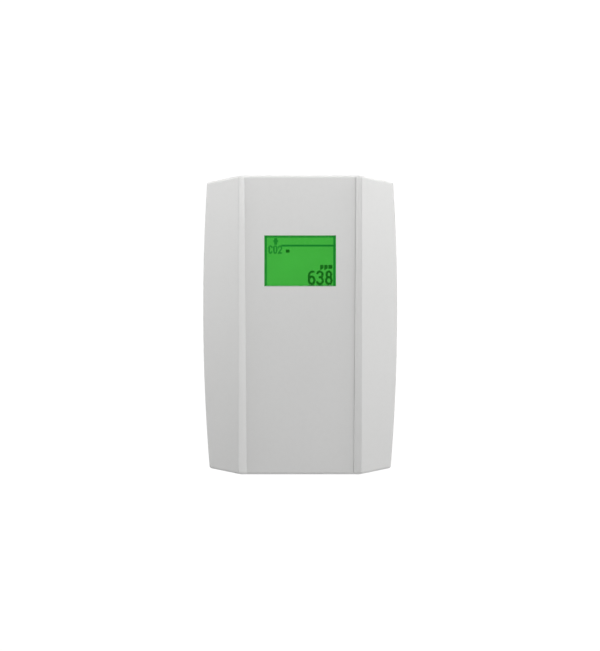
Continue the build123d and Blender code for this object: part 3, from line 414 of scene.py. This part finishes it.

# The last colour given to a moulded material is its painted edge highlight.
materials = {
    "cover_plastic": moulded("cover_plastic", COVER, 0.5, edge_highlight_colour=hue(238, 238, 238)),
    "base_plastic": moulded("base_plastic", BASE, 0.55, edge_highlight_colour=hue(232, 232, 230)),
    "window_clear": clear("window_clear", (0.97, 1.0, 0.97, 1), glare=0.12),
    "foam_tape": moulded("foam_tape", hue(30, 30, 31), 0.9, 0.3 * MM, 0.08 * MM),
    "board_laminate": circuit_board("board_laminate", MASK, hue(30, 118, 62)),
    "screw_steel": metal("screw_steel", hue(190, 190, 186), 0.32),
    "terminal_housing": moulded("terminal_housing", hue(38, 128, 74), 0.45, edge_highlight_colour=hue(80, 160, 110)),
    "terminal_metal": metal("terminal_metal", hue(200, 198, 192), 0.3),
    "capacitor_can": metal("capacitor_can", hue(205, 205, 208), 0.28, (1, 6, 1)),
    "ferrite": ceramic("ferrite", hue(58, 58, 60), 0.6),
    "chip_epoxy": moulded("chip_epoxy", hue(38, 38, 40), 0.55, 0.2 * MM, 0.02 * MM, hue(80, 80, 82)),
    "suppressor_blue": moulded("suppressor_blue", hue(34, 84, 160), 0.3, 1.2 * MM, 0.06 * MM),
    "fuse_yellow": moulded("fuse_yellow", hue(214, 160, 50), 0.5, 0.3 * MM, 0.03 * MM),
    "lead_tin": metal("lead_tin", hue(205, 205, 202), 0.3),
    "crystal_can": metal("crystal_can", hue(212, 212, 214), 0.2),
    "resistor_body": ceramic("resistor_body", hue(42, 42, 46), 0.3),
    "capacitor_body": ceramic("capacitor_body", hue(180, 148, 108), 0.4),
    "header_black": moulded("header_black", hue(36, 36, 38), 0.5, 0.25 * MM, 0.02 * MM, hue(70, 70, 72)),
    "pin_gold": metal("pin_gold", hue(224, 186, 106), 0.22),
    "jumper_red": moulded("jumper_red", hue(176, 34, 30), 0.35, edge_highlight_colour=hue(205, 90, 84)),
    "cell_housing": moulded("cell_housing", hue(44, 44, 47), 0.5, edge_highlight_colour=hue(84, 84, 88)),
    "filter_cloth": felt("filter_cloth", hue(238, 238, 234)),
    "lamp_glass": clear("lamp_glass", (1.0, 0.97, 0.9, 1)),
    "detector_can": metal("detector_can", hue(208, 200, 176), 0.25),
    "spacer_brass": metal("spacer_brass", hue(206, 198, 176), 0.25, (1, 8, 1)),
    "lcd_face": moulded("lcd_face", hue(30, 90, 40), 0.12, 2 * MM, 0.001 * MM),
    "backlight_guide": moulded("backlight_guide", hue(190, 226, 186), 0.35, 0.5 * MM, 0.01 * MM),
    "lamp_white": moulded("lamp_white", hue(240, 238, 220), 0.4, 0.3 * MM, 0.01 * MM),
    "bezel_black": moulded("bezel_black", hue(40, 40, 42), 0.5, 0.3 * MM, 0.02 * MM, hue(80, 80, 82)),
    "ribbon_film": ribbon("ribbon_film", hue(170, 104, 34), hue(206, 120, 66)),
    "connector_ivory": moulded("connector_ivory", hue(226, 218, 196), 0.45, edge_highlight_colour=hue(240, 236, 224)),
    "key_black": moulded("key_black", hue(40, 40, 42), 0.45, 0.25 * MM, 0.015 * MM, hue(80, 80, 82)),
}

for entry in frame["record"]["subparts"]:
    node = frame["nodes"][entry["node"]]
    node.data.materials.clear()
    node.data.materials.append(materials[entry["material_slot"]])

# ------------------------------------------------------------------ shapes


def add_piece(name, shape, material, body):
    """Turns a finished bmesh into a piece that rides on a body."""
    bmesh.ops.recalc_face_normals(shape, faces=shape.faces)
    mesh = bpy.data.meshes.new(name)
    shape.to_mesh(mesh)
    shape.free()
    mesh.materials.append(material)
    piece = bpy.data.objects.new(name, mesh)
    bpy.context.scene.collection.objects.link(piece)
    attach(piece, body)
    return piece


def add_box(shape, low, high):
    """Adds a box between two corners to a bmesh."""
    corners = [
        shape.verts.new((x, y, z))
        for x in (low[0], high[0])
        for y in (low[1], high[1])
        for z in (low[2], high[2])
    ]
    for face in ((0, 1, 3, 2), (4, 6, 7, 5), (0, 4, 5, 1), (2, 3, 7, 6), (0, 2, 6, 4), (1, 5, 7, 3)):
        shape.faces.new([corners[corner] for corner in face])


# ------------------------------------------------------------------ display picture

PIXEL = 0.286 * MM
INK = 0.02 * MM
glass_low, glass_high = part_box("lcd_glass")
MIDDLE_X = (glass_low.x + glass_high.x) / 2
MIDDLE_Z = (glass_low.z + glass_high.z) / 2
VIEW = (18.5 * MM, 13.2 * MM)
# Widths of the dark lines at the left, right, bottom and top of the field: the display's drawn frame,
# widened by painted shadow from the window's edge.
FRAME_AND_SHADOW_LINES = (1.5 * MM, 1.6 * MM, 1.0 * MM, 1.3 * MM)
HEADER_LINE_LEFT = -9.6 * MM
HEADER_LINE = (7.3 * MM, 8.3 * MM)
# Small upright figure over the label, as two crossing bars, and the square mark beside the label.
FIGURE_BODY = ((-13.2 * MM, -11.7 * MM), (8.2 * MM, 11.6 * MM))
FIGURE_ARMS = ((-13.7 * MM, -11.2 * MM), (9.6 * MM, 10.6 * MM))
MARK = ((-7.3 * MM, -5.4 * MM), (4.2 * MM, 5.8 * MM))
# Text, left side of each character, bottom, width, height and half stroke, in millimetres.
LABEL = ("CO2", (-16.2, -13.8, -11.4), 3.6, 2.2, 4.4, 0.36)
READING = ("638", (3.9, 8.2, 12.65), -12.3, 3.9, 7.4, 0.56)
UNIT = ("ppm", (10.2, 12.3, 14.4), -4.6, 1.9, 2.6, 0.36)


def on_glass(shape, x, z, layer=1):
    """A thin patch on the glass, between places measured in metres from the middle of the display."""
    face = glass_low.y - (layer - 1) * INK
    low = (MIDDLE_X + x[0], face - INK, MIDDLE_Z + z[0])
    add_box(shape, low, (MIDDLE_X + x[1], face, MIDDLE_Z + z[1]))


def distance_to(stroke, point, corner, size):
    """Distance from a point to a line between two unit-square places of a box."""
    start = Vector((corner[0] + stroke[0][0] * size[0], corner[1] + stroke[0][1] * size[1]))
    end = Vector((corner[0] + stroke[1][0] * size[0], corner[1] + stroke[1][1] * size[1]))
    along = (point - start).dot(end - start) / max((end - start).length_squared, 1e-12)
    return (point - start.lerp(end, min(1, max(0, along)))).length


def draw_character(shape, character, left, bottom, width, height, half_stroke):
    """Fills the display's dots that lie on the strokes of a character. Sizes are in millimetres."""
    inset = half_stroke * MM
    corner = (inset, inset)
    size = (width * MM - 2 * inset, height * MM - 2 * inset)
    for column in range(round(width * MM / PIXEL)):
        for row in range(round(height * MM / PIXEL)):
            point = Vector(((column + 0.5) * PIXEL, (row + 0.5) * PIXEL))
            near = min(distance_to(stroke, point, corner, size) for stroke in CHARACTERS[character])
            if near <= inset:
                x = left * MM + column * PIXEL
                z = bottom * MM + row * PIXEL
                on_glass(shape, (x, x + PIXEL), (z, z + PIXEL), 2)


def draw_text(shape, text, lefts, *form):
    """Draws each character of a text at its own left side."""
    for left, character in zip(lefts, text):
        draw_character(shape, character, left, *form)


def arc(centre, radii, start, stop, steps=10):
    """Lines along an ellipse in the unit square, between two angles in degrees."""
    points = []
    for step in range(steps + 1):
        angle = math.radians(start + (stop - start) * step / steps)
        points.append((centre[0] + radii[0] * math.cos(angle), centre[1] + radii[1] * math.sin(angle)))
    return list(zip(points, points[1:]))


CHARACTERS = {
    "C": arc((0.5, 0.68), (0.5, 0.32), 20, 180)
    + [((0, 0.68), (0, 0.32))]
    + arc((0.5, 0.32), (0.5, 0.32), 180, 340),
    "O": arc((0.5, 0.68), (0.5, 0.32), 0, 180)
    + [((0, 0.68), (0, 0.32)), ((1, 0.68), (1, 0.32))]
    + arc((0.5, 0.32), (0.5, 0.32), 180, 360),
    "2": arc((0.5, 0.7), (0.5, 0.3), -35, 175) + [((0.9, 0.53), (0, 0)), ((0, 0), (1, 0))],
    "p": [((0, 0), (0, 1))] + arc((0.45, 0.65), (0.5, 0.35), 0, 360),
    "m": [((0, 0.3), (0, 1)), ((0.5, 0.3), (0.5, 0.95)), ((1, 0.3), (1, 0.9)), ((0, 1), (0.9, 1))],
    "6": arc((0.5, 0.3), (0.5, 0.3), 0, 360, 16)
    + [((0, 0.3), (0, 0.62))]
    + arc((0.62, 0.62), (0.62, 0.38), 70, 180),
    "3": arc((0.45, 0.76), (0.5, 0.24), -90, 150) + arc((0.45, 0.27), (0.55, 0.27), -155, 90),
    "8": arc((0.5, 0.77), (0.42, 0.23), 0, 360, 16) + arc((0.5, 0.28), (0.5, 0.28), 0, 360, 16),
}


def make_display():
    """Lit green field with its frame lines (drawn border and painted shadow of the window's edge), header
    line, label, reading and unit.
    """
    across, up = VIEW
    left, right, bottom, top = FRAME_AND_SHADOW_LINES
    field = bmesh.new()
    on_glass(field, (-across, across), (-up, up))
    add_piece("lcd_field", field, glowing("lcd_field", hue(64, 177, 61)), "base")

    lines = bmesh.new()
    # Frame lines: the display's drawn border together with painted shadow cast by the window's edge.
    on_glass(lines, (-across, left - across), (-up, up), 2)
    on_glass(lines, (across - right, across), (-up, up), 2)
    on_glass(lines, (left - across, across - right), (-up, bottom - up), 2)
    on_glass(lines, (left - across, across - right), (up - top, up), 2)
    on_glass(lines, (HEADER_LINE_LEFT, across - right), HEADER_LINE, 2)
    add_piece("lcd_frame_and_shadow_lines", lines, glowing("lcd_line", hue(12, 128, 38)), "base")

    labels = bmesh.new()
    draw_text(labels, *LABEL)
    on_glass(labels, *FIGURE_BODY, 2)
    on_glass(labels, *FIGURE_ARMS, 2)
    add_piece("lcd_labels", labels, glowing("lcd_label", hue(22, 134, 38)), "base")

    reading = bmesh.new()
    draw_text(reading, *READING)
    draw_text(reading, *UNIT)
    on_glass(reading, *MARK, 2)
    add_piece("lcd_reading", reading, glowing("lcd_ink", hue(0, 98, 4)), "base")


make_display()

# ------------------------------------------------------------------ details on the boards


def separate_boxes(node):
    """Lowest and highest corners of each separate solid in a node, in a fixed order."""
    mesh = frame["nodes"][node].data
    places = [tuple(round(part * 1e6) for part in vertex.co) for vertex in mesh.vertices]
    owner = {place: place for place in places}

    def find(place):
        while owner[place] != place:
            owner[place] = owner[owner[place]]
            place = owner[place]
        return place

    for polygon in mesh.polygons:
        first = find(places[polygon.vertices[0]])
        for vertex in polygon.vertices[1:]:
            owner[find(places[vertex])] = first
    groups = {}
    for place in owner:
        groups.setdefault(find(place), []).append(place)
    boxes = []
    for group in groups.values():
        sides = list(zip(*group))
        lowest = Vector([min(side) * 1e-6 for side in sides])
        highest = Vector([max(side) * 1e-6 for side in sides])
        boxes.append((lowest, highest))
    return sorted(boxes, key=lambda box: tuple(box[0]))


def add_prism(shape, outline, start, stop, along):
    """Adds a straight prism. outline gives (u, y) points, and it runs from start to stop."""

    def place(u, y, run):
        return (u, y, run) if along == "z" else (run, y, u)

    rings = [[shape.verts.new(place(u, y, run)) for u, y in outline] for run in (start, stop)]
    shape.faces.new(rings[0])
    shape.faces.new(rings[1][::-1])
    for corner in range(len(outline)):
        following = (corner + 1) % len(outline)
        shape.faces.new((rings[0][corner], rings[1][corner], rings[1][following], rings[0][following]))


def add_ring(shape, x, z, inner, outer, rear, front, segments=20):
    """Adds a flat ring that faces the room."""
    loops = []
    for radius, y in ((inner, rear), (outer, rear), (outer, front), (inner, front)):
        loop = []
        for step in range(segments):
            turn = 2 * math.pi * step / segments
            loop.append(shape.verts.new((x + radius * math.cos(turn), y, z + radius * math.sin(turn))))
        loops.append(loop)
    for ring, following in zip(loops, loops[1:] + loops[:1]):
        for step in range(segments):
            after = (step + 1) % segments
            shape.faces.new((ring[step], ring[after], following[after], following[step]))


def make_end_caps():
    """Tinned ends and solder fillets of the chip resistors and capacitors and of the fuse."""
    proud, cap_share, fillet = 0.02 * MM, 0.2, 0.4 * MM
    wetted, waist_share = 0.75, 0.3
    caps, solder = bmesh.new(), bmesh.new()
    for node in ("chip_resistors", "chip_capacitors", "resettable_fuse"):
        for lowest, highest in separate_boxes(node):
            size = highest - lowest
            long_side = 0 if size.x > size.z else 2
            wide_side = 2 - long_side
            foot = highest.y
            face = lowest.y - proud
            wide = (lowest[wide_side] - proud, highest[wide_side] + proud)
            along = "z" if long_side == 0 else "x"
            for end, inward in ((lowest[long_side], 1), (highest[long_side], -1)):
                outer = end - inward * proud
                inner = end + inward * cap_share * size[long_side]
                chamfer = inward * 3 * proud
                rim = face + 3 * proud
                cap = ((inner, foot), (inner, face), (outer + chamfer, face), (outer, rim), (outer, foot))
                add_prism(caps, cap, *wide, along)
                height = wetted * (foot - face)
                toe = outer - inward * fillet
                waist = (outer - inward * waist_share * fillet, foot - waist_share * height)
                meniscus = ((outer, foot), (outer, foot - height), waist, (toe, foot - proud), (toe, foot))
                add_prism(solder, meniscus, *wide, along)
    add_piece("chip_end_caps", caps, materials["lead_tin"], "base")
    add_piece("chip_solder", solder, materials["terminal_metal"], "base")


def make_lead_toes():
    """Solder at the outer ends of the leads of the chips."""
    rise, waist, waist_rise, reach, edge = 0.4 * MM, 0.12 * MM, 0.16 * MM, 0.35 * MM, 0.02 * MM
    chips = [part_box("microcontroller")] + separate_boxes("amplifier_chips")
    middles = [(low_corner + high_corner) / 2 for low_corner, high_corner in chips]
    toes = bmesh.new()
    for lowest, highest in separate_boxes("chip_leads"):
        size = highest - lowest
        long_side = 0 if size.x > size.z else 2
        centre = (lowest + highest) / 2
        chip = min(middles, key=lambda middle: (middle - centre).length)
        outward = 1 if centre[long_side] > chip[long_side] else -1
        end = highest[long_side] if outward > 0 else lowest[long_side]
        foot = highest.y
        tip = end + outward * reach
        toe = ((end, foot), (end, foot - rise), (end + outward * waist, foot - waist_rise))
        toe += ((tip, foot - edge), (tip, foot))
        wide = (lowest[2 - long_side] - edge, highest[2 - long_side] + edge)
        add_prism(toes, toe, *wide, "z" if long_side == 0 else "x")
    add_piece("chip_lead_solder", toes, materials["terminal_metal"], "base")


def make_power_leads():
    """Tin on the leads and the cooling tab that stick out from under the power supply's chips."""
    skin = 0.02 * MM
    tin = bmesh.new()
    # Chip, sideways place and half width of a lead, its height, and its reach in from an end.
    leads = [("bridge_rectifier", side * 2.5, 0.3, 0.4, end, 1.4) for side in (-1, 1) for end in (-1, 1)]
    leads += [("voltage_regulator", side * 2.3, 0.4, 0.5, -1, 1.75) for side in (-1, 1)]
    leads += [("voltage_regulator", 0, 2.7, 0.5, 1, 2.55)]
    for node, sideways, half_width, height, end, reach in leads:
        lowest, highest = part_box(node)
        middle = (lowest.x + highest.x) / 2 + sideways * MM
        top = highest.y - height * MM
        outer = highest.z + skin if end > 0 else lowest.z - skin
        inner = outer - end * (reach * MM + skin)
        bevel = outer - end * 2 * skin
        profile = ((inner, highest.y), (inner, top - skin), (bevel, top - skin), (outer, top + skin))
        profile += ((outer, highest.y),)
        wide = (middle - half_width * MM - skin, middle + half_width * MM + skin)
        add_prism(tin, profile, *wide, "x")
    add_piece("power_lead_tin", tin, materials["lead_tin"], "base")


def make_print():
    """White printed outlines round the parts on the main board, and dots at their first pins."""
    ink, line, room = 0.015 * MM, 0.16 * MM, 0.35 * MM
    dot_left, dot_up, dot_radii = 1.6 * MM, 0.9 * MM, (0.05 * MM, 0.3 * MM)
    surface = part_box("main_board")[0].y
    outlines = bmesh.new()
    printed = ("bridge_rectifier", "voltage_regulator", "surge_suppressor", "resettable_fuse")
    printed += ("supply_inductor", "clock_crystal", "terminal_block", "jumper_headers", "climate_sensor")
    printed += ("chip_capacitors", "link_socket", "co2_cell_board")
    for node in printed:
        for lowest, highest in separate_boxes(node):
            left, right = lowest.x - room, highest.x + room
            bottom, top = lowest.z - room, highest.z + room
            for x, z in (
                ((left, right), (bottom, bottom + line)),
                ((left, right), (top - line, top)),
                ((left, left + line), (bottom + line, top - line)),
                ((right - line, right), (bottom + line, top - line)),
            ):
                add_box(outlines, (x[0], surface - ink, z[0]), (x[1], surface, z[1]))
    for lowest, highest in separate_boxes("supply_capacitors"):
        middle = (lowest + highest) / 2
        radius = (highest.x - lowest.x) / 2 + room
        add_ring(outlines, middle.x, middle.z, radius - line, radius, surface, surface - ink, 48)
    for lowest, highest in [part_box("microcontroller")] + separate_boxes("amplifier_chips"):
        x, z = lowest.x - dot_left, highest.z + dot_up
        add_ring(outlines, x, z, *dot_radii, surface, surface - ink)
    add_piece("board_print", outlines, PRINT_WHITE, "base")


def make_vias():
    """Rings of plated holes in the free places of the main board."""
    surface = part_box("main_board")[0].y
    board_low, board_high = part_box("main_board")
    taken = []
    standing = ("terminal_block", "supply_capacitors", "supply_inductor", "bridge_rectifier")
    standing += ("voltage_regulator", "surge_suppressor", "resettable_fuse", "microcontroller")
    standing += ("amplifier_chips", "chip_leads", "clock_crystal", "chip_resistors", "chip_capacitors")
    standing += ("jumper_headers", "co2_cell_board", "climate_sensor", "board_screws", "display_spacers")
    standing += ("link_socket",)
    for node in standing:
        taken += separate_boxes(node)
    rings = bmesh.new()
    draw = random.Random(11)
    room = 0.9 * MM
    pitch, scatter, share = 3.4 * MM, 0.2, 0.45
    # Below this height the board has only its narrow leg, to the right of this place.
    leg_top, leg_left = -31 * MM, 15 * MM
    hole, pad, proud = 0.17 * MM, 0.38 * MM, 0.02 * MM
    columns = int((board_high.x - board_low.x) / pitch)
    rows = int((board_high.z - board_low.z) / pitch)
    for column in range(1, columns):
        for row in range(1, rows):
            wanted = draw.random() < share
            x = board_low.x + (column + draw.uniform(-scatter, scatter)) * pitch
            z = board_low.z + (row + draw.uniform(-scatter, scatter)) * pitch
            off_board = x < leg_left and z < leg_top
            covered = any(
                lowest.x - room < x < highest.x + room and lowest.z - room < z < highest.z + room
                for lowest, highest in taken
            )
            if wanted and not off_board and not covered:
                add_ring(rings, x, z, hole, pad, surface, surface - proud, 16)
    add_piece("board_vias", rings, materials["pin_gold"], "base")


def make_capacitor_sleeves():
    """Shrunk plastic sleeves of the supply capacitors, with the pale stripe of the negative side."""
    thickness, film, stripe_proud = 0.1 * MM, 0.02 * MM, 0.02 * MM
    segments, stripe_start, stripe_stop = 48, 20, 28
    sleeves, stripes = bmesh.new(), bmesh.new()
    for lowest, highest in separate_boxes("supply_capacitors"):
        middle = (lowest + highest) / 2
        radius = (highest.x - lowest.x) / 2
        # Radius and place along the axis, from the foot of the wall over the rim to the lip.
        profile = (
            (radius, highest.y - 0.15 * MM),
            (radius + thickness, highest.y - 0.15 * MM),
            (radius + thickness, lowest.y + 0.45 * MM),
            (radius + 0.6 * thickness, lowest.y + 0.12 * MM),
            (radius - 0.35 * MM, lowest.y - 0.02 * MM),
            (radius - 0.9 * MM, lowest.y - 0.05 * MM),
            (radius - 0.9 * MM, lowest.y + 0.02 * MM),
        )
        turns = ((sleeves, 0, segments, 0), (stripes, stripe_start, stripe_stop, stripe_proud))
        for shape, first, last, proud in turns:
            rings = []
            for step in range(first, last + (shape is stripes)):
                angle = 2 * math.pi * step / segments
                ring = []
                for reach, y in profile[1:4] if shape is stripes else profile:
                    x = middle.x + (reach + proud) * math.cos(angle)
                    z = middle.z + (reach + proud) * math.sin(angle)
                    ring.append(shape.verts.new((x, y, z)))
                rings.append(ring)
            pairs = list(zip(rings, rings[1:]))
            if shape is sleeves:
                pairs.append((rings[-1], rings[0]))
            for ring, following in pairs:
                for corner in range(len(ring) - 1):
                    faces = (ring[corner], ring[corner + 1], following[corner + 1], following[corner])
                    shape.faces.new(faces)
    finished = ((sleeves, "capacitor_sleeves", SLEEVE), (stripes, "capacitor_stripes", STRIPE))
    for shape, name, material in finished:
        piece = add_piece(name, shape, material, "base")
        for polygon in piece.data.polygons:
            polygon.use_smooth = True
        piece.modifiers.new("thickness", "SOLIDIFY").thickness = film


PRINT_WHITE = moulded("print_white", hue(232, 236, 230), 0.6, 0.2 * MM, 0.004 * MM)
# The sleeve's last colour paints a highlight on its edges.
SLEEVE = moulded("sleeve", hue(36, 42, 60), 0.3, 0.6 * MM, 0.004 * MM, hue(70, 76, 96))
STRIPE = moulded("stripe", hue(196, 200, 206), 0.35, 0.6 * MM, 0.004 * MM)

make_end_caps()
make_lead_toes()
make_power_leads()
make_print()
make_vias()
make_capacitor_sleeves()
